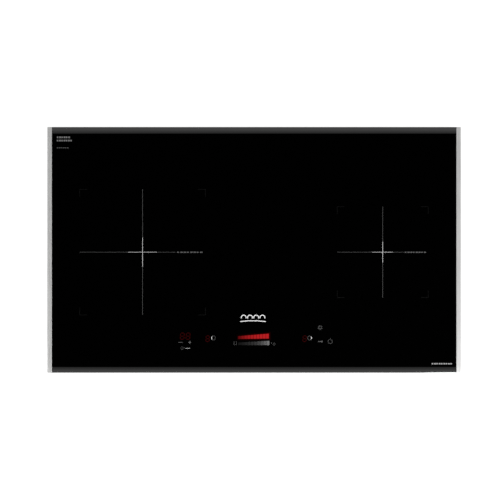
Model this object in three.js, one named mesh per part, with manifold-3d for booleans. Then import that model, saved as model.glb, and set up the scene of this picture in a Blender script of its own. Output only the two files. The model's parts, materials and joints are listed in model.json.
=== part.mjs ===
// Two-zone built-in induction cooktop: a black glass-ceramic top with aluminium side trims, a
// folded steel tray, and the coils, electronics, fans and controls between them.
// Millimetres. +X right, +Y to the back, +Z up. The origin is under the middle of the tray, on
// the surface that the tray stands on.
import * as THREE from 'three';
import { mergeVertices } from 'three/addons/utils/BufferGeometryUtils.js';
import Module from 'manifold-3d';

const wasm = await Module();
wasm.setup();

// ---- driving dimensions ----
const WIDTH = 730; // over the side trims
const DEPTH = 434; // glass, front to back
const HEIGHT = 62; // tray underside to glass top
const GLASS_T = 4;
const TRIM_W = 8.5;
const BACK_BEVEL = { width: 11.5, drop: 1.9 };
const FRONT_BEVEL = { width: 10.2, drop: 1.6 };
const GAP = 0.3; // between neighbouring pieces

const TRAY_HALF_X = 340;
const TRAY_HALF_Y = 190;
const TRAY_TOP = 55.5;
const SHEET = 1.2; // tray sheet thickness
const POCKET_X = 24; // corner pockets that hold the hold-down brackets
const POCKET_Y = 56;
const POCKET_TOP = 44;

const FRAME_OUT = 2; // glass frame skirt stands this far outside the tray
const FRAME_T = 1;
const FRAME_LOW = 48;
const SEAL_LOW = 55;

const PLATE_LOW = 39.5; // aluminium plate under the coils
const PLATE_T = 1.5;
const CARRIER_LOW = 46.5;
const CARRIER_T = 4.3;
const WINDING_LOW = 51.2;
const WINDING_T = 5;
const WINDING_IN = 30;
const LEAD_R = 2.2;

const BOARD_LOW = 8;
const BOARD_T = 1.6;
const FAN_SIZE = 80;
const FAN_T = 25;
const FAN_LOW = SHEET + GAP;
const FAN_BORE = 37.5;

const COVER_AXIS = { x: 47, y: 192.1 }; // terminal cover hinge
const INLET = { x: -82, z: 24 }; // mains cable inlet in the back wall

// ---- derived levels ----
const HALF_W = WIDTH / 2;
const HALF_D = DEPTH / 2;
const GLASS_LOW = HEIGHT - GLASS_T;
const GLASS_HALF_X = HALF_W - TRIM_W;
const PLATE_TOP = PLATE_LOW + PLATE_T;
const BOARD_TOP = BOARD_LOW + BOARD_T;
const CARRIER_TOP = CARRIER_LOW + CARRIER_T;
const DECK = BOARD_TOP + GAP; // where a component stands on a board

// The two cooking zones, each over its own power stage. sign is the side of the middle.
const ZONES = [
  { name: 'left', sign: -1, x: -197, y: -4, radius: 104 },
  { name: 'right', sign: 1, x: 227, y: -4, radius: 77 },
];
const FAN_CENTRE = { x: 262, y: 120 }; // on the right; the left one is its mirror image

// ---- materials ----
function material(color, roughness, metalness) {
  return new THREE.MeshStandardMaterial({ color, roughness, metalness });
}
const LOOK = {
  glass: material(0x050506, 0.05, 0),
  trim: material(0xb9bbbd, 0.35, 1),
  seal: material(0x202020, 0.9, 0),
  steel: material(0x9a9da0, 0.45, 1),
  plate: material(0xc4c7ca, 0.4, 1),
  spring: material(0xa8abae, 0.3, 1),
  carrier: material(0x2b2a28, 0.7, 0),
  copper: material(0xa9643c, 0.45, 0.8),
  mica: material(0xcfc4ad, 0.75, 0),
  sensor: material(0xe6e2da, 0.6, 0),
  board: material(0x1f5a34, 0.5, 0),
  heatsink: material(0xc9cccf, 0.4, 1),
  chip: material(0x151515, 0.5, 0),
  capacitor: material(0xc9a227, 0.45, 0),
  choke: material(0xb0713f, 0.45, 0.6),
  plastic: material(0x1a1a1b, 0.6, 0),
  display: material(0x2a0d0d, 0.3, 0),
  terminal: material(0xe4e1d6, 0.5, 0),
  lead: material(0x8b8478, 0.7, 0),
  ribbon: material(0xb4b4b0, 0.6, 0),
  bracket: material(0xa2a5a8, 0.4, 1),
};

// ---- geometry helpers ----

// Shared vertices merged, flattened triangles dropped, and faces turned outwards.
function weld(geometry) {
  const bare = geometry.clone();
  bare.deleteAttribute('normal');
  bare.deleteAttribute('uv');
  const merged = mergeVertices(bare, 1e-4);
  const position = merged.attributes.position;
  const kept = [];
  let volume = 0;
  const corners = [new THREE.Vector3(), new THREE.Vector3(), new THREE.Vector3()];
  for (let i = 0; i < merged.index.count; i += 3) {
    const [a, b, c] = [0, 1, 2].map((k) => merged.index.getX(i + k));
    if (a === b || b === c || c === a) continue;
    kept.push(a, b, c);
    [a, b, c].forEach((vertex, k) => corners[k].fromBufferAttribute(position, vertex));
    volume += corners[0].dot(corners[1].clone().cross(corners[2]));
  }
  if (volume < 0) kept.reverse();
  merged.setIndex(kept);
  return merged;
}

function solid(geometry) {
  const welded = weld(geometry);
  return new wasm.Manifold(new wasm.Mesh({
    numProp: 3,
    vertProperties: new Float32Array(welded.attributes.position.array),
    triVerts: new Uint32Array(welded.index.array),
  }));
}

function geometryOf(body) {
  const mesh = body.getMesh();
  const geometry = new THREE.BufferGeometry();
  geometry.setAttribute('position', new THREE.BufferAttribute(new Float32Array(mesh.vertProperties), 3));
  geometry.setIndex(new THREE.BufferAttribute(new Uint32Array(mesh.triVerts), 1));
  return geometry;
}

function join(first, ...others) {
  return geometryOf(others.reduce((whole, other) => whole.add(solid(other)), solid(first)));
}

function cut(body, ...tools) {
  return geometryOf(tools.reduce((rest, tool) => rest.subtract(solid(tool)), solid(body)));
}

function keepInside(body, limit) {
  return geometryOf(solid(body).intersect(solid(limit)));
}

// A box from its spans; a span may run either way round, so mirrored boxes need no care.
function block([xa, xb], [ya, yb], [za, zb]) {
  const box = new THREE.BoxGeometry(Math.abs(xb - xa), Math.abs(yb - ya), Math.abs(zb - za));
  return box.translate((xa + xb) / 2, (ya + yb) / 2, (za + zb) / 2);
}

function rod(radius, [low, high], x = 0, y = 0, sides = 24) {
  const cylinder = new THREE.CylinderGeometry(radius, radius, high - low, sides);
  return cylinder.rotateX(Math.PI / 2).translate(x, y, (low + high) / 2);
}

// A solid of revolution about Z. The profile is a list of [radius, z] that closes on itself.
function turned(profile, x = 0, y = 0, sides = 48) {
  const points = [...profile, profile[0]].map(([r, z]) => new THREE.Vector2(r, z));
  return weld(new THREE.LatheGeometry(points, sides).rotateX(Math.PI / 2).translate(x, y, 0));
}

function outline(points) {
  return new THREE.Shape(points.map(([x, y]) => new THREE.Vector2(x, y)));
}

function prism(shape, [low, high], curveSegments = 12) {
  const depth = high - low;
  return new THREE.ExtrudeGeometry(shape, { depth, bevelEnabled: false, curveSegments }).translate(0, 0, low);
}

// A bar whose section is drawn in Y and Z and runs along X.
function barAlongX(points, [low, high]) {
  const axes = new THREE.Matrix4().makeBasis(
    new THREE.Vector3(0, 1, 0),
    new THREE.Vector3(0, 0, 1),
    new THREE.Vector3(1, 0, 0),
  );
  return prism(outline(points), [low, high]).applyMatrix4(axes);
}

// A bar whose section is drawn in X and Z and runs along Y.
function barAlongY(points, [low, high]) {
  const axes = new THREE.Matrix4().makeBasis(
    new THREE.Vector3(1, 0, 0),
    new THREE.Vector3(0, 0, 1),
    new THREE.Vector3(0, -1, 0),
  );
  return prism(outline(points), [-high, -low]).applyMatrix4(axes);
}

function regularPolygon(radius, sides) {
  return Array.from({ length: sides }, (_, i) => {
    const angle = (2 * Math.PI * i) / sides;
    return [radius * Math.cos(angle), radius * Math.sin(angle)];
  });
}

function sweep(route, radius, sides, steps) {
  const extrudePath = new THREE.CatmullRomCurve3(route.map(([x, y, z]) => new THREE.Vector3(x, y, z)));
  const section = outline(regularPolygon(radius, sides));
  return new THREE.ExtrudeGeometry(section, { steps, extrudePath, bevelEnabled: false });
}

// A rectangular ring lying flat, from its outer and inner half sizes.
function rectangularRing([outX, outY], [inX, inY], span) {
  return cut(
    block([-outX, outX], [-outY, outY], span),
    block([-inX, inX], [-inY, inY], [span[0] - 1, span[1] + 1]),
  );
}

function piece(name, geometry, look) {
  const mesh = new THREE.Mesh(weld(geometry), look);
  mesh.name = name;
  return mesh;
}

function group(...children) {
  const assembly = new THREE.Group();
  children.flat().forEach((child) => assembly.add(child));
  return assembly;
}

// ---- top: glass, trims, seal and frame ----

// The polished bevel: steeper towards the edge, so that its fall follows a shallow curve.
function bevelProfile(edgeY, { width, drop }) {
  const steps = 4;
  const inward = -Math.sign(edgeY);
  return Array.from({ length: steps + 1 }, (_, i) => {
    const reach = 1 - i / steps;
    return [edgeY + inward * width * (1 - reach), HEIGHT - drop * (0.7 * reach + 0.3 * reach * reach)];
  });
}

// The top's outline seen from the side, with a bevel at the back and the front edge.
function topSection(low) {
  return [
    [-HALF_D, low],
    [HALF_D, low],
    ...bevelProfile(HALF_D, BACK_BEVEL),
    ...bevelProfile(-HALF_D, FRONT_BEVEL).reverse(),
  ];
}

function glassTop() {
  const slab = barAlongX(topSection(GLASS_LOW), [-GLASS_HALF_X, GLASS_HALF_X]);
  return piece('glass_top', slab, LOOK.glass);
}

// An aluminium extrusion beside the glass, whose ends fall away with the glass's bevels.
function sideTrim({ name, sign }) {
  const inner = GLASS_HALF_X + GAP;
  const lip = inner - 5; // runs under the glass, where it is bonded
  const low = SEAL_LOW + 0.6;
  const section = [
    [lip, GLASS_LOW - 1.1],
    [inner + 2, GLASS_LOW - 1.1],
    [inner + 2, low],
    [HALF_W - 1.2, low],
    [HALF_W, low + 1.2],
    [HALF_W, HEIGHT - 1.8],
    [HALF_W - 0.5, HEIGHT - 0.6],
    [HALF_W - 1.7, HEIGHT],
    [inner, HEIGHT],
    [inner, GLASS_LOW - 0.2],
    [lip, GLASS_LOW - 0.2],
  ];
  const bar = barAlongY(section.map(([x, z]) => [sign * x, z]), [-HALF_D, HALF_D]);
  const limit = barAlongX(topSection(low - 1), [-HALF_W - 1, HALF_W + 1]);
  return piece(`${name}_trim`, keepInside(bar, limit), LOOK.trim);
}

function worktopSeal() {
  const ring = rectangularRing([351, 211], [344, 194], [SEAL_LOW, GLASS_LOW - 0.2]);
  return piece('worktop_seal', ring, LOOK.seal);
}

// A skirt round the tray's rim with a flange that is bonded under the glass.
function glassFrame() {
  const outX = TRAY_HALF_X + FRAME_OUT;
  const outY = TRAY_HALF_Y + FRAME_OUT;
  const top = GLASS_LOW - GAP;
  const skirt = rectangularRing([outX, outY], [outX - FRAME_T, outY - FRAME_T], [FRAME_LOW, top]);
  const flange = rectangularRing([outX, outY], [outX - 8, outY - 6], [top - FRAME_T, top]);
  return piece('glass_frame', join(skirt, flange), LOOK.steel);
}

// ---- tray ----

// One box for each corner pocket, grown by a wall thickness when it shapes the tray's inside.
function cornerPockets(grow) {
  const pockets = [];
  for (const sx of [-1, 1]) {
    for (const sy of [-1, 1]) {
      pockets.push(block(
        [sx * (TRAY_HALF_X - POCKET_X - grow), sx * (TRAY_HALF_X + 5)],
        [sy * (TRAY_HALF_Y - POCKET_Y - grow), sy * (TRAY_HALF_Y + 5)],
        [-5, POCKET_TOP + grow],
      ));
    }
  }
  return pockets;
}

const BRACKET_PIVOT = { x: TRAY_HALF_X - POCKET_X / 2, y: TRAY_HALF_Y - POCKET_X / 2 };

function traySkin() {
  const outside = cut(
    block([-TRAY_HALF_X, TRAY_HALF_X], [-TRAY_HALF_Y, TRAY_HALF_Y], [0, TRAY_TOP]),
    ...cornerPockets(0),
  );
  const inX = TRAY_HALF_X - SHEET;
  const inY = TRAY_HALF_Y - SHEET;
  const inside = cut(
    block([-inX, inX], [-inY, inY], [SHEET, TRAY_TOP + 5]),
    ...cornerPockets(SHEET),
  );
  return cut(outside, inside);
}

// Air inlets under each fan: parallel slots inside a circle.
function intakeSlots(sign) {
  const pitch = 9;
  const width = 4.5;
  return Array.from({ length: 8 }, (_, i) => {
    const offset = (i - 3.5) * pitch;
    const half = Math.sqrt(35 ** 2 - offset ** 2);
    const x = sign * FAN_CENTRE.x + offset;
    return block([x - width / 2, x + width / 2], [FAN_CENTRE.y - half, FAN_CENTRE.y + half], [-1, SHEET + 1]);
  });
}

// A row of upright slots through the front or back wall.
function wallSlots(centreX, wallSign, count) {
  const pitch = 10;
  const wall = wallSign * TRAY_HALF_Y;
  return Array.from({ length: count }, (_, i) => {
    const x = centreX + (i - (count - 1) / 2) * pitch;
    return block([x - 2, x + 2], [wall - wallSign * 3, wall + wallSign * 3], [14, 34]);
  });
}

// Stand-offs that each board is screwed to.
function boardPosts() {
  const powerPosts = [-1, 1].flatMap((sign) => [118, 306].flatMap((x) => [-144, 60].map((y) => [sign * x, y])));
  const filterPosts = [-52, 52].flatMap((x) => [68, 180].map((y) => [x, y]));
  return [...powerPosts, ...filterPosts].map(([x, y]) => rod(4, [SHEET / 2, BOARD_LOW - GAP], x, y, 8));
}

// Two lugs that carry the terminal cover's stub pins.
function coverLugs() {
  return [3, 44.5].map((low) => cut(
    block([COVER_AXIS.x - 3.5, COVER_AXIS.x + 3.5], [TRAY_HALF_Y - 0.6, TRAY_HALF_Y + 4.6], [low, low + 2.5]),
    rod(1.5, [low - 1, low + 4], COVER_AXIS.x, COVER_AXIS.y, 16),
  ));
}

function alongY(geometry, x, y, z) {
  return geometry.rotateX(-Math.PI / 2).translate(x, y, z);
}

function baseTray() {
  const shelfHoles = [-1, 1].flatMap((sx) => [-1, 1].map((sy) => rod(
    2.4,
    [POCKET_TOP - 2, POCKET_TOP + 4],
    sx * BRACKET_PIVOT.x,
    sy * BRACKET_PIVOT.y,
    16,
  )));
  const terminalWindow = block([-40, 40], [TRAY_HALF_Y - 4, TRAY_HALF_Y + 4], [9, 41]);
  const inletHole = alongY(rod(10, [-4, 4], 0, 0, 24), INLET.x, TRAY_HALF_Y, INLET.z);
  const shell = join(traySkin(), ...boardPosts(), ...coverLugs());
  const finished = cut(
    shell,
    ...shelfHoles,
    terminalWindow,
    inletHole,
    ...intakeSlots(-1),
    ...intakeSlots(1),
    ...wallSlots(-220, -1, 12),
    ...wallSlots(220, -1, 12),
    ...wallSlots(-200, 1, 8),
    ...wallSlots(200, 1, 8),
  );
  return piece('base_tray', finished, LOOK.steel);
}

// ---- coil deck ----

// Where each litz lead leaves its winding and the way it takes down to the power board.
function leadRoutes({ sign, x, y, radius }) {
  const outerX = x - sign * radius;
  const terminalX = sign * 132;
  const inner = { x: x - sign * 10, y: y - 24 };
  return {
    outer: [
      [outerX - sign * 0.8, y, WINDING_LOW + 2.7],
      [outerX - sign * 6, y - 0.5, WINDING_LOW + 2],
      [outerX - sign * 9, y - 4, 43],
      [outerX - sign * 9, y - 14, 30],
      [(outerX - sign * 9 + terminalX) / 2, y - 42, 17],
      [terminalX, y - 58, DECK + 3],
    ],
    inner: [
      [inner.x, inner.y, WINDING_LOW + 2.4],
      [inner.x - sign * 2, inner.y - 2, 47],
      [inner.x - sign * 8, inner.y - 7, 40],
      [inner.x - sign * 11, inner.y - 13, 32],
      [inner.x - sign * 22, inner.y - 44, 18],
      [inner.x - sign * 34, inner.y - 70, DECK + 3],
    ],
  };
}

function coilPlate() {
  const openings = ZONES.flatMap((zone) => {
    const { outer, inner } = leadRoutes(zone);
    return [
      rod(8, [PLATE_LOW - 1, PLATE_TOP + 1], zone.x, zone.y, 20),
      rod(5.5, [PLATE_LOW - 1, PLATE_TOP + 1], outer[2][0], outer[2][1] - 1, 12),
      rod(6.5, [PLATE_LOW - 1, PLATE_TOP + 1], inner[2][0], inner[2][1], 12),
    ];
  });
  const ribbonSlot = block([-12, 12], [-146, -134], [PLATE_LOW - 1, PLATE_TOP + 1]);
  const sheet = block([-312, 312], [-182, 182], [PLATE_LOW, PLATE_TOP]);
  return piece('coil_plate', cut(sheet, ribbonSlot, ...openings), LOOK.plate);
}

// Helical springs that press the plate and its coils up to the glass.
function plateSpring(name, x, y) {
  const turns = 5;
  const stepsPerTurn = 9;
  const low = SHEET + 1.1;
  const rise = PLATE_LOW - low - 1.1;
  const count = turns * stepsPerTurn;
  const route = Array.from({ length: count + 1 }, (_, i) => {
    const angle = (2 * Math.PI * i) / stepsPerTurn;
    return [x + 6 * Math.cos(angle), y + 6 * Math.sin(angle), low + (rise * i) / count];
  });
  return piece(name, sweep(route, 0.8, 5, count), LOOK.spring);
}

function plateSprings() {
  const corners = { rear_left: [-300, 174], rear_right: [300, 174], front_left: [-300, -174], front_right: [300, -174] };
  return Object.entries(corners).map(([corner, [x, y]]) => plateSpring(`${corner}_spring`, x, y));
}

// A spoked plastic former: hub, rim and eight spokes, on four feet.
function coilCarrier({ name, x, y, radius }) {
  const disc = outline(regularPolygon(radius + 3, 40));
  const spokes = 8;
  const windowIn = 23;
  const windowOut = radius - 9;
  const spokeHalf = 5;
  for (let i = 0; i < spokes; i += 1) {
    const middle = ((i + 0.5) * 2 * Math.PI) / spokes;
    const wide = (r) => Math.PI / spokes - Math.asin(spokeHalf / r);
    const window = new THREE.Path();
    window.absarc(0, 0, windowOut, middle - wide(windowOut), middle + wide(windowOut), false);
    window.absarc(0, 0, windowIn, middle + wide(windowIn), middle - wide(windowIn), true);
    disc.holes.push(window);
  }
  disc.holes.push(new THREE.Path(regularPolygon(5, 12).map(([px, py]) => new THREE.Vector2(px, py))));
  const body = prism(disc, [CARRIER_LOW, CARRIER_TOP], 2);
  const feet = [0, 1, 2, 3].map((i) => {
    const angle = (i * Math.PI) / 2;
    const reach = radius - 4;
    return rod(4, [PLATE_TOP + GAP, CARRIER_LOW + 1], reach * Math.cos(angle), reach * Math.sin(angle), 8);
  });
  return piece(`${name}_coil_carrier`, join(body, ...feet).translate(x, y, 0), LOOK.carrier);
}

function coilWinding({ name, x, y, radius }) {
  const low = WINDING_LOW;
  const high = WINDING_LOW + WINDING_T;
  const profile = [[WINDING_IN, low], [radius, low], [radius, high], [WINDING_IN, high]];
  return piece(`${name}_coil_winding`, turned(profile, x, y), LOOK.copper);
}

function micaSheet({ name, x, y, radius }) {
  const profile = [[13, 56.9], [radius + 5, 56.9], [radius + 5, 57.3], [13, 57.3]];
  return piece(`${name}_mica_sheet`, turned(profile, x, y, 40), LOOK.mica);
}

// The temperature sensor in the middle of a coil: a capped plunger that presses on the glass.
function thermalSensor({ name, x, y }) {
  const capLow = 53.4;
  const shape = join(
    rod(9, [capLow, GLASS_LOW - GAP], x, y, 20),
    rod(3.5, [42.5, capLow + 0.5], x, y, 12),
  );
  return piece(`${name}_thermal_sensor`, shape, LOOK.sensor);
}

function coilLeads(zone) {
  const { outer, inner } = leadRoutes(zone);
  return [
    piece(`${zone.name}_outer_coil_lead`, sweep(outer, LEAD_R, 8, 22), LOOK.lead),
    piece(`${zone.name}_inner_coil_lead`, sweep(inner, LEAD_R, 8, 22), LOOK.lead),
  ];
}

// ---- power stage under each zone ----

function drilledBoard(xSpan, ySpan, holes) {
  return cut(
    block(xSpan, ySpan, [BOARD_LOW, BOARD_TOP]),
    ...holes.map(([x, y]) => rod(2, [BOARD_LOW - 1, BOARD_TOP + 1], x, y, 8)),
  );
}

function heatSinkSection(sign) {
  const [left, right] = [226, 300];
  const base = DECK + 5;
  const top = 35.5;
  const fins = 9;
  const finT = 2.4;
  const pitch = (right - left - finT) / (fins - 1);
  const comb = [[left, DECK], [right, DECK]];
  for (let i = fins - 1; i >= 0; i -= 1) {
    const x = left + i * pitch;
    comb.push([x + finT, top], [x, top]);
    if (i > 0) comb.push([x, base], [x - pitch + finT, base]);
  }
  return comb.map(([x, z]) => [sign * x, z]);
}

// A hood that turns the fan's air through the heat sink, open to the front.
function airDuct(sign) {
  const top = 38.3;
  const ceiling = top - 1.4;
  const roof = block([sign * 216, sign * 306], [-62, 164], [ceiling, top]);
  const innerWall = block([sign * 216, sign * 217.4], [-62, 164], [12, top]);
  const outerWall = block([sign * 304.6, sign * 306], [-62, 164], [12, top]);
  const backWall = block([sign * 216, sign * 306], [162.6, 164], [28, top]);
  return join(roof, innerWall, outerWall, backWall);
}

function toroid(outer, inner, [low, high], x, y) {
  const edge = 2.5;
  const profile = [
    [inner, low + edge], [inner + edge, low], [outer - edge, low], [outer, low + edge],
    [outer, high - edge], [outer - edge, high], [inner + edge, high], [inner, high - edge],
  ];
  return turned(profile, x, y, 20);
}

function powerStage({ name, sign }) {
  const mounts = [118, 306].flatMap((x) => [-144, 60].map((y) => [sign * x, y]));
  return [
    piece(`${name}_power_board`, drilledBoard([sign * 112, sign * 312], [-150, 66], mounts), LOOK.board),
    piece(`${name}_heat_sink`, barAlongY(heatSinkSection(sign), [-60, 58]), LOOK.heatsink),
    piece(`${name}_igbt`, block([sign * 220.4, sign * 225.4], [-8, 8], [12, 33]), LOOK.chip),
    piece(`${name}_rectifier`, block([sign * 220.4, sign * 225.4], [26, 50], [12, 30]), LOOK.chip),
    piece(`${name}_bus_capacitor`, block([sign * 150, sign * 192], [24, 46], [DECK, 36]), LOOK.capacitor),
    piece(`${name}_choke`, toroid(19, 8, [DECK, 26], sign * 165, -20), LOOK.choke),
    piece(`${name}_air_duct`, airDuct(sign), LOOK.plastic),
  ];
}

// ---- fans ----

function fanFrame({ name, sign }) {
  const half = FAN_SIZE / 2;
  const high = FAN_LOW + FAN_T;
  const corner = 5;
  const square = outline([
    [-half + corner, -half], [half - corner, -half], [half, -half + corner], [half, half - corner],
    [half - corner, half], [-half + corner, half], [-half, half - corner], [-half, -half + corner],
  ]);
  const screwOffset = 35.75;
  const screws = [-1, 1].flatMap((sx) => [-1, 1].map((sy) => rod(
    2.2,
    [FAN_LOW - 1, high + 1],
    sx * screwOffset,
    sy * screwOffset,
    8,
  )));
  const shell = cut(prism(square, [FAN_LOW, high]), rod(FAN_BORE, [FAN_LOW - 1, high + 1], 0, 0, 40), ...screws);
  const strut = (angle) => block([10, FAN_BORE + 1], [-2, 2], [FAN_LOW, FAN_LOW + 3]).rotateZ(angle);
  const struts = [45, 135, 225, 315].map((degrees) => strut(THREE.MathUtils.degToRad(degrees)));
  const motorBase = rod(17, [FAN_LOW, FAN_LOW + 4.5], 0, 0, 24);
  const bore = rod(2.1, [FAN_LOW + 1.2, FAN_LOW + 6], 0, 0, 16);
  const body = cut(join(shell, motorBase, ...struts), bore);
  return piece(`${name}_fan_frame`, body.translate(sign * FAN_CENTRE.x, FAN_CENTRE.y, 0), LOOK.plastic);
}

function fanRotor({ name, sign }) {
  const low = FAN_LOW + 5.3;
  const high = FAN_LOW + FAN_T - 1;
  const tip = 36.2;
  const blades = 7;
  const pitchAngle = THREE.MathUtils.degToRad(48);
  const blade = (i) => block([13, tip + 2], [-11, 11], [-0.9, 0.9])
    .rotateX(sign * pitchAngle)
    .translate(0, 0, (low + high) / 2)
    .rotateZ((2 * Math.PI * i) / blades);
  const hub = turned([[0, low + 3], [12, low + 3], [12, low], [16, low], [16, high - 1.5], [14.5, high], [0, high]], 0, 0, 20);
  const shaft = rod(1.6, [FAN_LOW + 2, low + 4], 0, 0, 12);
  const swept = keepInside(
    join(hub, ...Array.from({ length: blades }, (_, i) => blade(i))),
    rod(tip, [low, high], 0, 0, 28),
  );
  const rotor = join(swept, shaft);
  return piece(`${name}_fan_rotor`, rotor.translate(sign * FAN_CENTRE.x, FAN_CENTRE.y, 0), LOOK.plastic);
}

// ---- mains input ----

function terminalCover() {
  const inner = TRAY_HALF_Y + GAP;
  const panel = block([-44, 45], [inner, inner + 1.5], [6, 44]);
  const arm = block([43, COVER_AXIS.x], [inner + 0.1, inner + 2.3], [6, 44]);
  const knuckle = rod(1.8, [6, 44], COVER_AXIS.x, COVER_AXIS.y, 16);
  const pin = rod(1.1, [3.4, 46.6], COVER_AXIS.x, COVER_AXIS.y, 12);
  const pull = block([-44, -42], [inner + 1, inner + 3.2], [15, 35]);
  return piece('terminal_cover', join(panel, arm, knuckle, pin, pull), LOOK.plastic);
}

// A snap-in bushing that the mains cable passes through.
function cableInlet() {
  const wallIn = -SHEET - GAP;
  const profile = [
    [5.5, -14], [9.5, -14], [9.5, GAP], [12.5, GAP], [12.5, 2.4], [11.5, 3.4], [5.5, 3.4],
  ];
  const snapRing = [[9.2, wallIn - 2.5], [11, wallIn], [9.2, wallIn]];
  const bushing = join(turned(profile, 0, 0, 24), turned(snapRing, 0, 0, 24));
  return piece('cable_inlet', alongY(bushing, INLET.x, TRAY_HALF_Y, INLET.z), LOOK.plastic);
}

function terminalBlock() {
  const body = block([-28, 28], [158, 182], [DECK, 30]);
  const entries = [-20, -10, 0, 10, 20].map((x) => block([x - 3, x + 3], [176, 183], [14, 22]));
  return piece('terminal_block', cut(body, ...entries), LOOK.terminal);
}

function mainsInput() {
  const mounts = [-52, 52].flatMap((x) => [68, 180].map((y) => [x, y]));
  return [
    piece('filter_board', drilledBoard([-58, 58], [62, 186], mounts), LOOK.board),
    terminalBlock(),
    terminalCover(),
    cableInlet(),
  ];
}

// ---- controls under the glass at the front ----

const PANEL = { x: [-150, 156], y: [-184.5, -126], z: [44, 56.6] };

function controlHolder() {
  const wall = 2;
  const outside = block(PANEL.x, PANEL.y, PANEL.z);
  const hollow = block(
    [PANEL.x[0] + wall, PANEL.x[1] - wall],
    [PANEL.y[0] + wall, PANEL.y[1] - wall],
    [PANEL.z[0] + wall, PANEL.z[1] + 5],
  );
  const ribbonSlot = block([-11, 11], [-145, -135], [PANEL.z[0] - 1, PANEL.z[0] + wall + 1]);
  const posts = [-140, 0, 146].flatMap((x) => [-178, -133].map((y) => rod(3, [45, 50.2], x, y, 8)));
  return piece('control_holder', cut(join(cut(outside, hollow), ...posts), ribbonSlot), LOOK.plastic);
}

function controls() {
  const boardX = [PANEL.x[0] + 2.5, PANEL.x[1] - 2.5];
  const boardY = [PANEL.y[0] + 2.5, PANEL.y[1] - 2.5];
  const displays = {
    timer_display: [[-135, -108], [-161, -144]],
    level_display: [[-32, 32], [-171, -144]],
    left_zone_display: [[-89, -75], [-165, -149]],
    right_zone_display: [[82, 96], [-165, -149]],
  };
  return [
    controlHolder(),
    piece('touch_board', block(boardX, boardY, [50.5, 52]), LOOK.board),
    ...Object.entries(displays).map(([name, [x, y]]) => piece(name, block(x, y, [52.3, 57.2]), LOOK.display)),
  ];
}

// The flat cable from the touch board to the filter board: a 1 mm strip, drawn from the side.
function ribbonCable() {
  const section = [
    [-140.5, 50.2], [-140.5, 15], [-62, 5.5], [44, 5.5], [60.5, 12], [72, 12],
    [72, 13], [60, 13], [43.8, 6.5], [-62, 6.5], [-139.5, 15.8], [-139.5, 50.2],
  ];
  return piece('ribbon_cable', barAlongX(section, [-8, 8]), LOOK.ribbon);
}

// ---- hold-down brackets ----

// A claw that swings out on its screw and grips the worktop from below. Drawn along +X.
function bracketShape() {
  const low = 20;
  const profile = [
    [0, low], [28, low], [33, low + 5], [40, low + 5], [40, low + 7], [32.2, low + 7], [27.2, low + 2], [0, low + 2],
  ];
  const arm = barAlongY(profile, [-7, 7]);
  const eye = rod(7, [low, low + 4], 0, 0, 20);
  return cut(join(arm, eye), rod(2.35, [low - 1, low + 5], 0, 0, 16));
}

function bracketScrew() {
  const head = rod(4.4, [6, 9], 0, 0, 16);
  const slot = block([-5, 5], [-0.6, 0.6], [5, 7.2]);
  return join(cut(head, slot), rod(2, [8.5, 54], 0, 0, 12));
}

function holdDown(name, sx, sy) {
  const corner = group(
    piece(`${name}_bracket`, bracketShape().rotateZ((-sy * Math.PI) / 2), LOOK.bracket),
    piece(`${name}_bracket_screw`, bracketScrew(), LOOK.spring),
  );
  corner.position.set(sx * BRACKET_PIVOT.x, sy * BRACKET_PIVOT.y, 0);
  return corner;
}

// ---- assembly ----

const top = group(glassTop(), ZONES.map(sideTrim), worktopSeal(), glassFrame());
const coilDeck = group(
  coilPlate(),
  plateSprings(),
  ZONES.map(coilCarrier),
  ZONES.map(coilWinding),
  ZONES.map(micaSheet),
  ZONES.map(thermalSensor),
  ZONES.flatMap(coilLeads),
);
const electronics = group(ZONES.flatMap(powerStage), ZONES.map(fanFrame), ZONES.map(fanRotor), mainsInput());
const controlPanel = group(controls(), ribbonCable());
const holdDowns = group(
  holdDown('rear_left', -1, 1),
  holdDown('rear_right', 1, 1),
  holdDown('front_left', -1, -1),
  holdDown('front_right', 1, -1),
);

export default group(baseTray(), coilDeck, electronics, controlPanel, holdDowns, top);
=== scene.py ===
import json
import math

import bmesh
import bpy
from mathutils import Matrix, Vector


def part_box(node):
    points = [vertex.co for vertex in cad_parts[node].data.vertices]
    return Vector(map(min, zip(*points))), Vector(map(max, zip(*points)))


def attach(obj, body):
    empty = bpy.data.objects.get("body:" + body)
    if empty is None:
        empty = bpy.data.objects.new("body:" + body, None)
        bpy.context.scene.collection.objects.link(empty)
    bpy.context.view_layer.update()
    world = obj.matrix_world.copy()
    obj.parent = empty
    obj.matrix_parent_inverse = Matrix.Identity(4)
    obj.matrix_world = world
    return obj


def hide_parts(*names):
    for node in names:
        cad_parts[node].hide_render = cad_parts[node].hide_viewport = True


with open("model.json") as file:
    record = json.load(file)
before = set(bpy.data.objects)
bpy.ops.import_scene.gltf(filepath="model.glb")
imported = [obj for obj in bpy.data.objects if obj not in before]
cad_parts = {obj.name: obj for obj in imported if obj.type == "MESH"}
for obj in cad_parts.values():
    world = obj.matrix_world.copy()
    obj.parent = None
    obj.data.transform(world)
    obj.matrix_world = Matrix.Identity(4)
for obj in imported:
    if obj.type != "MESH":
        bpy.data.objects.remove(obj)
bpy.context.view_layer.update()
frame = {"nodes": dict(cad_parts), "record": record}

MM = 0.001
SCENE = bpy.context.scene
SIDES = {"left": -1, "right": 1}
SIGNS = (-1, 1)
CORNERS = [(sx, sy) for sx in SIGNS for sy in SIGNS]
UP = (0, 0, 1)
FULL_TURN = 2 * math.pi
HERE = Matrix.Identity(4)  # leaves a sketch where it was drawn


def span(node):
    """Lowest and highest corner of a CAD node, in millimetres."""
    low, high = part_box(node)
    return low / MM, high / MM


def middle(node):
    low, high = span(node)
    return (low + high) / 2


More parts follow.
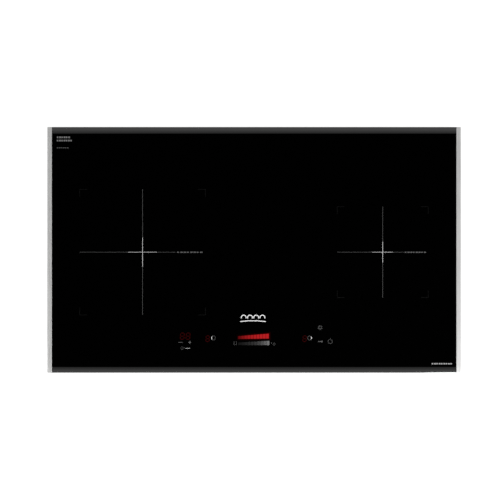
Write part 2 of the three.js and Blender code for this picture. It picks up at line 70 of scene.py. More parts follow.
GLASS_LOW, GLASS_HIGH = span("glass_top")
TRAY_WALL = span("base_tray")[1].x
ZONES = {side: middle(f"{side}_coil_winding").xy for side in SIDES}
TOP = GLASS_HIGH.z
GLASS_REACH = 0.6  # how far the glass goes past the frame's panel, into the trims
GLASS_TOP = TOP - 0.1  # the shown glass lies this much lower, which leaves room for the print
PRINT_SINK = 0.02  # how far the enamel print goes into the glass
PRINT_LIFT = 0.04  # how far it stands out
BACK_BEVEL = 11.5  # widths of the polished bevels
FRONT_BEVEL = 10.2
BACK_DROP = 1.9  # how far each bevel falls to the edge
FRONT_DROP = 1.6


# ---- sketching ----


def polar(radius, angle, x=0, y=0):
    return x + radius * math.cos(angle), y + radius * math.sin(angle)


def circle(radius, sides=32, x=0, y=0):
    return [polar(radius, FULL_TURN * i / sides, x, y) for i in range(sides)]


def arc(x, y, radius, start, end, steps=24):
    """Points along an arc whose ends are given in degrees."""
    angles = [math.radians(start + (end - start) * i / steps) for i in range(steps + 1)]
    return [polar(radius, angle, x, y) for angle in angles]


def rectangle(x0, y0, x1, y1):
    return [(x0, y0), (x1, y0), (x1, y1), (x0, y1)]


def rounded(x0, y0, x1, y1, radius, steps=5):
    """A rectangle with rounded corners."""
    centres = rectangle(x0 + radius, y0 + radius, x1 - radius, y1 - radius)
    outline = []
    for (x, y), start in zip(centres, (180, 270, 0, 90)):
        outline += arc(x, y, radius, start, start + 90, steps)
    return outline


def spiral(x, y, turns, per_turn, radius, height, start=0, hand=1):
    """A winding route; radius and height are each (value at the start, growth per turn)."""
    route = []
    for i in range(turns * per_turn + 1):
        share = i / per_turn
        point = polar(radius[0] + radius[1] * share, hand * FULL_TURN * share + start, x, y)
        route.append(Vector((*point, height[0] + height[1] * share)))
    return route


def smooth_route(points, steps=8):
    """A Catmull-Rom curve through the points."""
    knots = [Vector(p) for p in points]
    knots = [2 * knots[0] - knots[1], *knots, 2 * knots[-1] - knots[-2]]
    route = []
    for a, b, c, d in zip(knots, knots[1:], knots[2:], knots[3:]):
        for i in range(steps):
            t = i / steps
            square = (2 * a - 5 * b + 4 * c - d) * t**2
            cube = (3 * b - a - 3 * c + d) * t**3
            route.append(0.5 * (2 * b + (c - a) * t + square + cube))
    return [*route, knots[-2]]


def headings(points):
    """The direction of a route at each of its points."""
    pairs = zip([points[0], *points], [*points[1:], points[-1]])
    return [(Vector(after) - Vector(before)).normalized() for before, after in pairs]


def standing(x, y, turn=0):
    """Moves a part drawn round Z to a place in X and Y, turned by an angle."""
    return Matrix.Translation((x, y, 0)) @ Matrix.Rotation(turn, 4, "Z")


def facing(x, y, z, axis=UP):
    """Turns a part drawn on Z to point along an axis, at a place."""
    turn = Vector(UP).rotation_difference(Vector(axis)).to_matrix().to_4x4()
    return Matrix.Translation((x, y, z)) @ turn


class Sketch:
    """Closed solids for one piece, in millimetres."""

    def __init__(self):
        self.bm = bmesh.new()

    def skin(self, rings, loop=False):
        """Joins rings of points into a tube, and closes its ends with caps, or end to start."""
        made = [[self.bm.verts.new(p) for p in ring] for ring in rings]
        pairs = list(zip(made, made[1:]))
        if loop:
            pairs.append((made[-1], made[0]))
        for a, b in pairs:
            for i in range(len(a)):
                k = (i + 1) % len(a)
                self.bm.faces.new((a[i], a[k], b[k], b[i]))
        if not loop:
            self.bm.faces.new(made[0][::-1])
            self.bm.faces.new(made[-1])

    def stack(self, layers, place=HERE, loop=False):
        """A skin over layers of (outline in X and Y, height), moved by a matrix."""
        rings = [[place @ Vector((x, y, z)) for x, y in outline] for outline, z in layers]
        self.skin(rings, loop)

    def prism(self, outline, low, high, place=HERE):
        self.stack([(outline, low), (outline, high)], place)

    def disc(self, radius, low, high, place=HERE, sides=32, chamfer=0):
        """A solid cylinder on Z, with chamfered rims if asked for."""
        steps = [(radius, low + chamfer), (radius, high - chamfer)]
        if chamfer:
            steps = [(radius - chamfer, low), *steps, (radius - chamfer, high)]
        self.stack([(circle(r, sides), z) for r, z in steps], place)

    def frame(self, outside, inside, low, high, place=HERE):
        """A flat frame between two outlines of as many points."""
        self.stack([(outside, low), (outside, high), (inside, high), (inside, low)], place, loop=True)

    def tube(self, route, radius, sides=10, section=lambda i, angle: 1):
        """A bar of round section along a route; section(i, angle) scales the radius."""
        rings = []
        ways = headings(route)
        side = ways[0].orthogonal().normalized()
        for i, (point, ahead) in enumerate(zip(route, ways)):
            side = (side - ahead * side.dot(ahead)).normalized()
            other = ahead.cross(side)
            ring = []
            for k in range(sides):
                angle = FULL_TURN * k / sides
                reach = radius * section(i, angle)
                ring.append(point + (side * math.cos(angle) + other * math.sin(angle)) * reach)
            rings.append(ring)
        self.skin(rings)


ROUNDED_ANGLE = 50  # edges that turn more than this many degrees are rounded


def new_object(name, data):
    obj = bpy.data.objects.new(name, data)
    SCENE.collection.objects.link(obj)
    return obj


def make_mesh(name, sketch, look):
    """The sketch as a mesh in metres."""
    bmesh.ops.scale(sketch.bm, vec=(MM, MM, MM), verts=sketch.bm.verts)
    bmesh.ops.recalc_face_normals(sketch.bm, faces=sketch.bm.faces)
    mesh = bpy.data.meshes.new(name)
    sketch.bm.to_mesh(mesh)
    sketch.bm.free()
    mesh.materials.append(look)
    return mesh


def piece(name, sketch, slot, look=None, body="root", replaces=(), bevel=0, smooth=35):
    """Makes the sketch an object with its material, body and bevelled edges."""
    mesh = make_mesh(name, sketch, look or LOOKS[slot])
    mesh.shade_smooth()
    mesh.set_sharp_from_angle(angle=math.radians(smooth))
    obj = new_object(name, mesh)
    if bevel:
        soften(obj, bevel)
    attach(obj, body)
    if replaces:
        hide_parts(*replaces)


def soften(obj, width):
    """Rounds an object's sharp edges by a width in millimetres."""
    bevel = obj.modifiers.new("soft_edges", "BEVEL")
    bevel.width = width * MM
    bevel.segments = 2
    bevel.limit_method = "ANGLE"
    bevel.angle_limit = math.radians(ROUNDED_ANGLE)
    bevel.harden_normals = True
    bevel.use_clamp_overlap = True


# ---- materials ----

NOISE_RANGE = (0.3, 0.7)  # where most of a noise texture's values lie
FULL_RANGE = (0, 1)
GLASS_IOR = 1.5


def grey(value):
    return (value, value, value)


def shaded(colour, factor):
    return tuple(min(1, c * factor) for c in colour)


def fill_ramp(ramp, stops):
    """Gives a colour ramp its stops, each (position, (r, g, b))."""
    while len(ramp.elements) < len(stops):
        ramp.elements.new(0.5)
    for element, (position, colour) in zip(ramp.elements, stops):
        element.position = position
        element.color = (*colour, 1)


class Nodes:
    """A material's node tree with one Principled shader and object coordinates."""

    def __init__(self, name):
        self.material = bpy.data.materials.new(name)
        self.material.use_nodes = True
        self.tree = self.material.node_tree
        self.shader = self.tree.nodes["Principled BSDF"]
        self.place = self.tree.nodes.new("ShaderNodeTexCoord").outputs["Object"]

    def add(self, kind, links=None, **values):
        """Adds a node; links feed its sockets, and values set its properties or sockets."""
        node = self.tree.nodes.new("ShaderNode" + kind)
        for key, value in values.items():
            if hasattr(node, key):
                setattr(node, key, value)
            else:
                node.inputs[key.replace("_", " ")].default_value = value
        for key, source in (links or {}).items():
            self.tree.links.new(source, node.inputs[key])
        return node

    def stretched(self, scale):
        return self.add("Mapping", {"Vector": self.place}, Scale=scale).outputs["Vector"]

    def noise(self, scale, detail=4, vector=None):
        links = {"Vector": vector or self.place}
        return self.add("TexNoise", links, Scale=scale, Detail=detail).outputs["Fac"]

    def spread(self, source, low, high, reach=NOISE_RANGE):
        """A value that goes from low to high as the source goes over its reach."""
        node = self.add("MapRange", {"Value": source})
        for socket, value in zip(("From Min", "From Max", "To Min", "To Max"), (*reach, low, high)):
            node.inputs[socket].default_value = value
        return node.outputs["Result"]

    def ramp(self, source, stops):
        node = self.add("ValToRGB", {"Fac": source})
        fill_ramp(node.color_ramp, stops)
        return node.outputs["Color"]

    def blend(self, source, dark, light, reach=NOISE_RANGE):
        """A colour that goes from dark to light as the source goes over its reach."""
        return self.ramp(source, list(zip(reach, (dark, light))))

    def worn(self, source, colour, vary):
        """The base colour, darker and lighter with a noise."""
        return self.blend(source, shaded(colour, 1 - vary), shaded(colour, 1 + vary))

    def multiplied(self, first, second):
        """Two colours multiplied; each is a socket or a plain (r, g, b)."""
        node = self.add("Mix", data_type="RGBA", blend_type="MULTIPLY")
        node.inputs["Factor"].default_value = 1
        for socket, source in ((node.inputs[6], first), (node.inputs[7], second)):
            if isinstance(source, tuple):
                socket.default_value = (*source, 1)
            else:
                self.tree.links.new(source, socket)
        return node.outputs[2]

    def bump(self, height, distance, below=None):
        links = {"Height": height}
        if below is not None:
            links["Normal"] = below
        return self.add("Bump", links, Distance=distance * MM, Strength=1).outputs["Normal"]

    def feed(self, **sources):
        for key, source in sources.items():
            self.tree.links.new(source, self.shader.inputs[key.replace("_", " ")])

    def set(self, **values):
        for key, value in values.items():
            self.shader.inputs[key.replace("_", " ")].default_value = value
        return self.material


def grained(name, colour, roughness, grain, metallic=0, vary=0.08, depth=0.02, stretch=(1, 1, 1)):
    """A moulded, cast or drawn surface: one grain drives its colour, roughness and relief."""
    nodes = Nodes(name)
    vector = nodes.stretched(stretch)
    fine = nodes.noise(grain, 5, vector)
    broad = nodes.noise(grain / 25, 3, vector)
    nodes.feed(
        Base_Color=nodes.worn(broad, colour, vary),
        Roughness=nodes.spread(fine, roughness - 0.08, roughness + 0.08),
        Normal=nodes.bump(fine, depth),
    )
    return nodes.set(Metallic=metallic)


def galvanised(name, colour, roughness):
    """Zinc-coated sheet: crystals of two sizes that each reflect a little differently, and scuffs."""
    nodes = Nodes(name)
    tones = []
    for scale in (130, 290):
        cells = nodes.add("TexVoronoi", {"Vector": nodes.place}, Scale=scale, Randomness=1)
        parts = nodes.add("SeparateColor", {"Color": cells.outputs["Color"]})
        tones.append(parts.outputs["Red"])
    mixed = nodes.add("MapRange", {"Value": tones[1], "To Min": tones[0]}, To_Max=0.5)
    tone = mixed.outputs["Result"]
    scuffs = nodes.noise(900, 6, nodes.stretched((1, 0.15, 1)))
    zinc = nodes.blend(tone, shaded(colour, 0.84), shaded(colour, 1.12), FULL_RANGE)
    handled = nodes.blend(nodes.noise(7, 5), grey(0.86), grey(1), (0.35, 0.6))
    nodes.feed(
        Base_Color=nodes.multiplied(zinc, handled),
        Roughness=nodes.spread(tone, roughness - 0.08, roughness + 0.1, FULL_RANGE),
        Normal=nodes.bump(tone, 0.008, below=nodes.bump(scuffs, 0.01)),
    )
    return nodes.set(Metallic=1)


def brushed(name, colour, roughness, along, metallic=1):
    """Brushed metal: hair lines drawn out along one axis."""
    nodes = Nodes(name)
    stretch = [1, 1, 1]
    stretch[along] = 0.01
    hair = nodes.noise(2600, 3, nodes.stretched(stretch))
    patches = nodes.noise(14, 3)
    nodes.feed(
        Base_Color=nodes.worn(hair, colour, 0.07),
        Roughness=nodes.spread(hair, roughness - 0.06, roughness + 0.08),
        Normal=nodes.bump(hair, 0.004, below=nodes.bump(patches, 0.02)),
    )
    return nodes.set(Metallic=metallic)


def glass_ceramic():
    """Black glass: polished, with faint wipe marks that only show at a slant."""
    nodes = Nodes("black_glass")
    wipes = nodes.noise(9, 6, nodes.stretched((1, 2.2, 1)))
    specks = nodes.noise(3200, 2)
    nodes.feed(
        Base_Color=nodes.blend(specks, grey(0.0001), grey(0.0003), (0.3, 0.75)),
        Roughness=nodes.spread(wipes, 0.03, 0.07),
    )
    return nodes.set(IOR=GLASS_IOR)


def along_x(nodes, stops):
    """A grey or brightness that changes along X; stops are (x in millimetres, value)."""
    first, last = stops[0][0], stops[-1][0]
    x = nodes.add("SeparateXYZ", {"Vector": nodes.place}).outputs["X"]
    share = nodes.spread(x, 0, 1, (first * MM, last * MM))
    return nodes.ramp(share, [((at - first) / (last - first), grey(value)) for at, value in stops])


def enamel(name, tone, grain=1800):
    """Fired-on enamel, nearly as smooth as the glass: mottled, or lighter along X if given stops."""
    nodes = Nodes(name)
    mottle = nodes.noise(grain, 3)
    colour = along_x(nodes, tone) if isinstance(tone, list) else nodes.worn(mottle, grey(tone), 0.08)
    nodes.feed(Base_Color=colour, Roughness=nodes.spread(mottle, 0.07, 0.12))
    return nodes.set(IOR=GLASS_IOR)


def lit(name, colour, strength, stops=None):
    """Light-emitting figures behind the glass, brighter in patches or along X."""
    nodes = Nodes(name)
    glow = nodes.noise(260, 2)
    shade = along_x(nodes, stops) if stops else nodes.worn(glow, grey(1), 0.15)
    nodes.feed(Emission_Color=nodes.multiplied(shade, colour), Roughness=nodes.spread(glow, 0.04, 0.08))
    return nodes.set(Base_Color=(0.0003, 0.0001, 0.0001, 1), Emission_Strength=strength, IOR=GLASS_IOR)


TRACKS = {"offset": 0.37, "squash": 0.6, "squash_frequency": 3, "Mortar_Size": 0.07, "Mortar_Smooth": 0.2}


def circuit_board():
    """Green solder mask over copper: long tracks one way, short ones the other, as a faint relief."""
    nodes = Nodes("circuit_board")
    layers = []
    for scale, stretch in ((90, (1, 1, 1)), (150, (0.55, 1, 1))):
        links = {"Vector": nodes.stretched(stretch)}
        bricks = nodes.add("TexBrick", links, **TRACKS, Scale=scale)
        layers.append(bricks.outputs["Fac"])
    tracks = nodes.add("Math", {0: layers[0], 1: layers[1]}, operation="MAXIMUM")
    patches = nodes.spread(nodes.noise(45, 1), 0, 1, (0.45, 0.55))
    routed = nodes.add("Math", {0: tracks.outputs["Value"], 1: patches}, operation="MULTIPLY")
    relief = routed.outputs["Value"]
    nodes.feed(
        Base_Color=nodes.blend(relief, (0.013, 0.1, 0.038), (0.028, 0.17, 0.06), FULL_RANGE),
        Roughness=nodes.spread(nodes.noise(800), 0.25, 0.4),
        Normal=nodes.bump(relief, 0.03),
    )
    return nodes.set(Coat_Weight=0.3)


LOOKS = {
    "glass": glass_ceramic(),
    "trim": brushed("brushed_aluminium", (0.51, 0.51, 0.505), 0.42, along=1, metallic=0.6),
    "seal": grained("foam_rubber", (0.018, 0.018, 0.019), 0.85, 900, depth=0.25, vary=0.3),
    "steel": galvanised("galvanised_sheet", (0.42, 0.43, 0.44), 0.4),
    "coil_plate": brushed("rolled_aluminium", (0.72, 0.73, 0.74), 0.35, along=0),
    "spring_steel": grained("spring_steel", (0.5, 0.5, 0.5), 0.28, 700, metallic=1),
    "bracket": grained("zinc_plate", (0.56, 0.56, 0.55), 0.38, 500, metallic=1, depth=0.01),
    "screw": grained("plated_screw", (0.5, 0.5, 0.49), 0.3, 800, metallic=1, depth=0.01),
    "carrier": grained("glass_filled_plastic", (0.05, 0.047, 0.043), 0.6, 1300, vary=0.2, depth=0.03),
    "copper": grained("litz_copper", (0.62, 0.24, 0.1), 0.34, 1500, 1, vary=0.18, depth=0.03),
    "mica": grained("mica_sheet", (0.5, 0.45, 0.35), 0.5, 160, vary=0.22, depth=0.04),
    "sensor": grained("silicone_cap", (0.7, 0.68, 0.63), 0.55, 900, depth=0.02),
    "board": circuit_board(),
    "heat_sink": brushed("extruded_aluminium", (0.68, 0.69, 0.7), 0.34, along=1),
    "chip": grained("moulded_epoxy", (0.018, 0.018, 0.019), 0.55, 1600, depth=0.02),
    "capacitor": grained("yellow_film_case", (0.62, 0.36, 0.03), 0.35, 700, depth=0.01),
    "choke": grained("enamelled_copper", (0.58, 0.22, 0.07), 0.25, 900, metallic=1, vary=0.15),
    "plastic": grained("black_moulding", (0.022, 0.022, 0.023), 0.5, 1500, vary=0.12, depth=0.03),
    "display": grained("smoked_lens", (0.05, 0.006, 0.006), 0.18, 900, depth=0.004),
    "terminal": grained("polyamide", (0.66, 0.63, 0.55), 0.45, 1200, depth=0.02),
    "lead": grained("glass_fibre_sleeve", (0.42, 0.38, 0.31), 0.8, 2600, vary=0.2, depth=0.08),
    "ribbon": grained("flat_cable", (0.45, 0.45, 0.44), 0.45, 1600, stretch=(1, 0.03, 0.03), depth=0.05),
    "ferrite": grained("sintered_ferrite", (0.045, 0.045, 0.05), 0.5, 1200, vary=0.2, depth=0.03),
    "label": grained("silver_foil_label", (0.62, 0.62, 0.61), 0.42, 600, metallic=0.7, depth=0.006),
}
WIRE_COLOURS = {
    "brown": (0.12, 0.045, 0.02),
    "blue": (0.02, 0.09, 0.35),
    "green": (0.06, 0.3, 0.05),
    "red": (0.45, 0.02, 0.015),
    "black": (0.02, 0.02, 0.02),
}
WIRE_LOOKS = {shade: grained(f"{shade}_pvc", rgb, 0.4, 1500) for shade, rgb in WIRE_COLOURS.items()}
# Brightness along X, as (x, value)
SLIDE_TONES = [(-29, 0.004), (-14, 0.011), (0, 0.02), (8, 0.035), (16, 0.06), (28, 0.13)]
LEVEL_TONES = [
    (-29, 0.05), (-25, 0.14), (-19, 0.22), (-12, 0.31), (0, 0.4), (14, 0.46), (28, 0.46),
]
PRINTS = {
    "slide": enamel("slide_print", SLIDE_TONES, 900),
    "bright": enamel("white_print", 0.62),
    "middle": enamel("light_grey_print", 0.24),
    "soft": enamel("mid_grey_print", 0.16),
    "dim": enamel("grey_print", 0.085),
    "faint": enamel("dark_grey_print", 0.009),
}
LEVEL_LIGHT = lit("level_light", (1, 0.03, 0.035), 1, LEVEL_TONES)
FIGURE_LIGHT = lit("figure_light", (1, 0.05, 0.06), 0.045)


# ---- camera, light and stage ----

CAMERA_X, CAMERA_Y = -0.0073, -0.0002
FRAME_WIDTH = 0.8828  # what the picture spans at the height of the glass
LENS = 200
SENSOR = 36
SKY_STRENGTH = 2.1
# (angle from straight up in degrees, brightness), from the horizon to overhead
SKY_RINGS = [
    (90, 0.41), (84, 0.39), (78, 0.14), (62, 0.14), (52, 0.25), (44, 0.25), (34, 0.32), (28, 0.5),
    (26, 0.64), (22.6, 0.6), (20.8, 0.49), (19.2, 0.37), (17.4, 0.28), (15.8, 0.19), (13.5, 0.08),
    (11.5, 0),
]
SOFTBOX_PLACE = (0.45, -1.1, 1.05)
SOFTBOX_SIZE = 0.5
SOFTBOX_POWER = 29
FLOOR_HALF = 3000
FLOOR_DEPTH = 4
FLOOR_TONES = (0.23, 0.27)
FLOOR_GLOW = (0.92, 0.62)  # near the cooktop and far from it
FLOOR_FADE = (0.7, 2.6)  # metres from the middle over which the glow falls


def add_camera():
    data = bpy.data.cameras.new("camera")
    data.lens = LENS
    data.sensor_width = SENSOR
    camera = new_object("camera", data)
    camera.location = (CAMERA_X, CAMERA_Y, TOP * MM + FRAME_WIDTH * LENS / SENSOR)
    SCENE.camera = camera


def add_sky():
    """A light tent: dark overhead, brightest in a ring further down, and soft at the sides."""
    world = bpy.data.worlds.new("tent")
    SCENE.world = world
    world.use_nodes = True
    tree = world.node_tree
    background = tree.nodes["Background"]
    direction = tree.nodes.new("ShaderNodeTexCoord").outputs["Generated"]
    height = tree.nodes.new("ShaderNodeSeparateXYZ")
    tree.links.new(direction, height.inputs["Vector"])
    ramp = tree.nodes.new("ShaderNodeValToRGB")
    tree.links.new(height.outputs["Z"], ramp.inputs["Fac"])
    fill_ramp(ramp.color_ramp, [(math.cos(math.radians(angle)), grey(tone)) for angle, tone in SKY_RINGS])
    tree.links.new(ramp.outputs["Color"], background.inputs["Color"])
    background.inputs["Strength"].default_value = SKY_STRENGTH


def add_softbox():
    """A small soft light above the front right, which the camera does not see."""
    data = bpy.data.lights.new("softbox", "AREA")
    data.shape = "DISK"
    data.size = SOFTBOX_SIZE
    data.energy = SOFTBOX_POWER
    light = new_object("softbox", data)
    light.location = SOFTBOX_PLACE
    light.visible_camera = False
    light.rotation_euler = (-light.location).to_track_quat("-Z", "Y").to_euler()


def light_table():
    """Fine fibres that glow, less so far from the middle."""
    nodes = Nodes("light_table")
    fibres = nodes.noise(60, 4)
    away = nodes.add("VectorMath", {"Vector": nodes.place}, operation="LENGTH")
    fade = nodes.spread(away.outputs["Value"], 0, 1, FLOOR_FADE)
    nodes.feed(
        Base_Color=nodes.blend(fibres, *map(grey, FLOOR_TONES)),
        Roughness=nodes.spread(fibres, 0.75, 0.85),
        Emission_Color=nodes.blend(fade, *map(grey, FLOOR_GLOW), FULL_RANGE),
    )
    return nodes.set(Emission_Strength=1, Specular_IOR_Level=0.2)


def add_floor():
    sketch = Sketch()
    sketch.prism(rectangle(-FLOOR_HALF, -FLOOR_HALF, FLOOR_HALF, FLOOR_HALF), -FLOOR_DEPTH, 0)
    new_object("floor", make_mesh("floor", sketch, light_table()))


# ---- glass, trims and frame ----

BEVEL_SLOPE, BEVEL_CURVE = 0.7, 0.3  # shares of a bevel's drop that grow evenly and as a square
ARRIS = 0.35  # width of the fine slanted edge all round the glass
ARRIS_RISE = 0.04  # how much higher the bevel's outer line is for it
TRIM_GAP = 0.15  # between the glass and a trim
TRIM_LIP = (56.9, 57.8)  # heights of the lip below the glass
TRIM_FOLLOW = 0.35  # how much of the glass bevel's drop the trims' ends take
TRIM_SHOULDER = -0.35  # height of the face's outer line over the trim's top
# A trim's face as (distance from its inner wall, height over the trim's top)
TRIM_FACE = [
    (0, -0.35), (0.08, -0.14), (0.3, -0.02), (0.7, 0), (2.2, -0.21),
    (3.8, -0.3), (5.4, -0.21), (6.9, 0), (7.3, -0.03), (7.55, -0.16),
]


def bevel_drop(y):
    """How far the glass surface lies below its flat, in the bevels at the back and front."""
    back = min(1, max(0, (y - GLASS_HIGH.y + BACK_BEVEL) / BACK_BEVEL))
    front = min(1, max(0, (GLASS_LOW.y + FRONT_BEVEL - y) / FRONT_BEVEL))
    bevels = ((BACK_DROP, back), (FRONT_DROP, front))
    return sum(drop * (BEVEL_SLOPE * share + BEVEL_CURVE * share**2) for drop, share in bevels)


def bevel_stations(steps=12):
    """Positions along Y at the ends and inner lines of both bevels, and between."""
    front = [GLASS_LOW.y + FRONT_BEVEL * i / steps for i in range(steps + 1)]
    back = [GLASS_HIGH.y - BACK_BEVEL * (1 - i / steps) for i in range(steps + 1)]
    return [*front, *back]


def glass_panel():
    """The glass: one section through both bevels, drawn out from side to side."""
    low, high = GLASS_LOW, GLASS_HIGH
    upper = [(y, GLASS_TOP - bevel_drop(y)) for y in bevel_stations()]
    upper[0] = (low.y + ARRIS, upper[0][1] + ARRIS_RISE)
    upper[-1] = (high.y - ARRIS, upper[-1][1] + ARRIS_RISE)
    outline = [(low.y, low.z + ARRIS), (low.y, GLASS_TOP - FRONT_DROP - ARRIS), *upper]
    outline += [(high.y, GLASS_TOP - BACK_DROP - ARRIS), (high.y, low.z + ARRIS)]
    outline += [(high.y - ARRIS, low.z), (low.y + ARRIS, low.z)]
    sketch = Sketch()
    sides = (low.x - GLASS_REACH, high.x + GLASS_REACH)
    sketch.skin([[Vector((x, y, z)) for y, z in outline] for x in sides])
    piece("glass_panel", sketch, "glass", replaces=["glass_top"], smooth=3)


def trim_section(side):
    """A trim's section as (x, height, follows the bevel): a slim bar, hollow on top, with a lip."""
    low, high = span("right_trim")
    inner, outer = GLASS_HIGH.x + GLASS_REACH + TRIM_GAP, high.x
    lip_low, lip_high = TRIM_LIP
    face = [*TRIM_FACE, (outer - inner, TRIM_SHOULDER)]
    section = [(low.x, lip_low, 0), (inner, lip_low, 0), (inner, low.z, 0), (outer, low.z, 0)]
    section += [(inner + x, high.z + z, 1) for x, z in reversed(face)]
    section += [(inner, lip_high, 0), (low.x, lip_high, 0)]
    return [(x * SIDES[side], z, follows) for x, z, follows in section]


def trim(side):
    rings = []
    for y in bevel_stations():
        drop = TRIM_FOLLOW * bevel_drop(y)
        rings.append([Vector((x, y, z - follows * drop)) for x, z, follows in trim_section(side)])
    sketch = Sketch()
    sketch.skin(rings)
    piece(f"{side}_trim_bar", sketch, "trim", replaces=[f"{side}_trim"], bevel=0.25, smooth=28)


# ---- printed marks and lit figures ----


def band(sketch, points, width):
    """A printed stroke of even width along points in X and Y on the glass."""
    corners = rectangle(-width / 2, -PRINT_SINK, width / 2, PRINT_LIFT)
    rings = []
    for (x, y), ahead in zip(points, headings(points)):
        rings.append([Vector((x - ahead.y * a, y + ahead.x * a, GLASS_TOP + z)) for a, z in corners])
    sketch.skin(rings)


def patch(sketch, outline, lift=PRINT_LIFT):
    sketch.prism(outline, GLASS_TOP - PRINT_SINK, GLASS_TOP + lift)


def bar(sketch, x0, y0, x1, y1, lift=PRINT_LIFT):
    patch(sketch, rectangle(x0, y0, x1, y1), lift)


def print_piece(name, sketch, tone):
    piece(name, sketch, "print", PRINTS[tone], smooth=30)


def lit_piece(name, sketch, look):
    piece(name, sketch, "lit_segment", look, smooth=30)


# Each zone: how far its marks and its bright arms reach, and the share of the arm before the dashes
ZONE_MARKS = {"left": (110.9, 25.5, 0.55), "right": (80.3, 18.5, 0.485)}
CROSS_LINE = 0.42  # width of the cross's arms along X
MARK_LINE = 0.5  # width of its arms along Y and of the corner marks
CORNER_LEG = 13
CENTRE_LINES = (0.46, 0.6072)  # widths of the bright arms along X and Y
CENTRE_LIFTS = (0.05, 0.055)  # how far they stand out
DASHES = 8
DASH_END = 0.965  # share of the arm where the dashes end
DASH_GAP = 0.025  # share of the arm left free before them
DASH_LOW, DASH_HIGH = -1.14, 0.76  # their lower and upper line


def zone_cross(side):
    """The cross of a cooking zone: dim outer arms and a bright centre."""
    reach, centre_reach, dash_start = ZONE_MARKS[side]
    x, y = ZONES[side]
    line, mark = CROSS_LINE / 2, MARK_LINE / 2
    arms = [(-reach, -line, -centre_reach, line), (-mark, -reach, mark, -centre_reach)]
    arms += [(centre_reach, -line, reach * (dash_start - DASH_GAP), line), (-mark, centre_reach, mark, reach)]
    outer, inner = Sketch(), Sketch()
    for x0, y0, x1, y1 in arms:
        bar(outer, x + x0, y + y0, x + x1, y + y1)
    across, along = (line / 2 for line in CENTRE_LINES)
    bar(inner, x - centre_reach, y - across, x + centre_reach, y + across, CENTRE_LIFTS[0])
    bar(inner, x - along, y - centre_reach, x + along, y + centre_reach, CENTRE_LIFTS[1])
    print_piece(f"{side}_zone_cross", outer, "dim")
    print_piece(f"{side}_zone_centre", inner, "bright")


def zone_dashes(side):
    """The short dashes that end the right arm of a cross."""
    reach, _, dash_start = ZONE_MARKS[side]
    x, y = ZONES[side]
    step = (DASH_END - dash_start) * reach / DASHES
    sketch = Sketch()
    for i in range(DASHES):
        start = x + reach * dash_start + step * i
        length = step * (0.8 if i % 3 else 0.6)
        bar(sketch, start, y + DASH_LOW, start + length, y + DASH_HIGH)
    print_piece(f"{side}_zone_dashes", sketch, "dim")


def zone_corners(side):
    """The four corner marks round a cooking zone."""
    reach = ZONE_MARKS[side][0]
    sketch = Sketch()
    for sx, sy in CORNERS:
        x, y = ZONES[side].x + sx * reach, ZONES[side].y + sy * reach
        band(sketch, [(x - sx * CORNER_LEG, y), (x - sx * MARK_LINE / 2, y)], MARK_LINE)
        band(sketch, [(x, y + sy * MARK_LINE / 2), (x, y - sy * CORNER_LEG)], MARK_LINE)
    print_piece(f"{side}_zone_corners", sketch, "faint")


def coil_symbol():
    """A plain symbol in the middle: a flat coil over a pan base line."""
    x, y = -2, -119
    pitch, radius = 11, 4.3
    sketch = Sketch()
    for i in range(4):
        band(sketch, arc(x + pitch * i - 16.4, y - 0.5, radius, 200, -20, 18), 1.6)
    base = [(x - 22.5, y - 7.6), (x - 8, y - 6.2), (x + 8, y - 6.2), (x + 22.5, y - 7.6)]
    band(sketch, base, 1.5)
    print_piece("coil_symbol", sketch, "bright")


# Rows of plain bars: (left, right, middle in Y, height, bars, tone)
PLAIN_ROWS = {
    "rear_lower_row": (-348.3, -320.6, 193, 2.7, 7, "soft"),
    "rear_upper_row": (-348.3, -324.4, 198.7, 2.9, 6, "soft"),
    "rear_small_row": (-348.3, -327, 180.2, 1.3, 6, "dim"),
    "front_row": (313.5, 350.6, -201, 2.3, 9, "middle"),
}


def plain_bars():
    """Plain bars where such a panel carries small print."""
    for name, (left, right, y, height, count, tone) in PLAIN_ROWS.items():
        sketch = Sketch()
        step = (right - left) / count
        for i in range(count):
            start = left + step * i
            length = step * (0.8 if i % 2 else 0.66)
            bar(sketch, start, y - height / 2, start + length, y + height / 2)
        print_piece(name, sketch, tone)


# Both ends of each segment, as shares of a figure's width and height
SEGMENTS = [
    ((0.12, 1), (0.88, 1)), ((0.12, 0.5), (0.88, 0.5)), ((0.12, 0), (0.88, 0)),
    ((0, 0.56), (0, 0.94)), ((1, 0.56), (1, 0.94)),
    ((0, 0.06), (0, 0.44)), ((1, 0.06), (1, 0.44)),
]
SEGMENT_WIDTH = 1.1
FIGURE_SLANT = 0.08
# Lower left corner, width and height of each figure
FIGURES = [
    (-130.6, -157.8, 6.6, 11), (-120.4, -157.8, 6.6, 11),
    (-85.4, -161.9, 5.8, 10.2), (85.8, -161.9, 5.8, 10.2),
]


def lit_figures():
    """Seven-segment eights with slanted sides."""
    sketch = Sketch()
    for x, y, width, height in FIGURES:
        slant = FIGURE_SLANT * height
        for ends in SEGMENTS:
            a, b = (Vector((x + p * width + q * slant, y + q * height)) for p, q in ends)
            ahead = (b - a).normalized() * SEGMENT_WIDTH / 2
            side = Vector((-ahead.y, ahead.x))
            patch(sketch, [a, a + ahead + side, b - ahead + side, b, b - ahead - side, a + ahead - side])
    lit_piece("lit_figures", sketch, FIGURE_LIGHT)


# The level display and the slide: ends in X, and each line's Y at the left and the right end
LEVEL_LEFT = -28.6
LEVEL_RIGHT = 26.4
LEVEL_LOW, LEVEL_HIGH = (-157.3, -156.4), (-152.5, -147.9)
LEVEL_STEPS = 10
LEVEL_GAP = 0.55
SLIDE_RIGHT = 27.4
SLIDE_LOW, SLIDE_HIGH = (-168.2, -168.2), (-163.6, -160.5)
HALOS = 6
HALO_GLOW = 0.034  # brightness of the innermost halo
HALO_FALL = 0.56  # brightness of each halo as a share of the one inside it


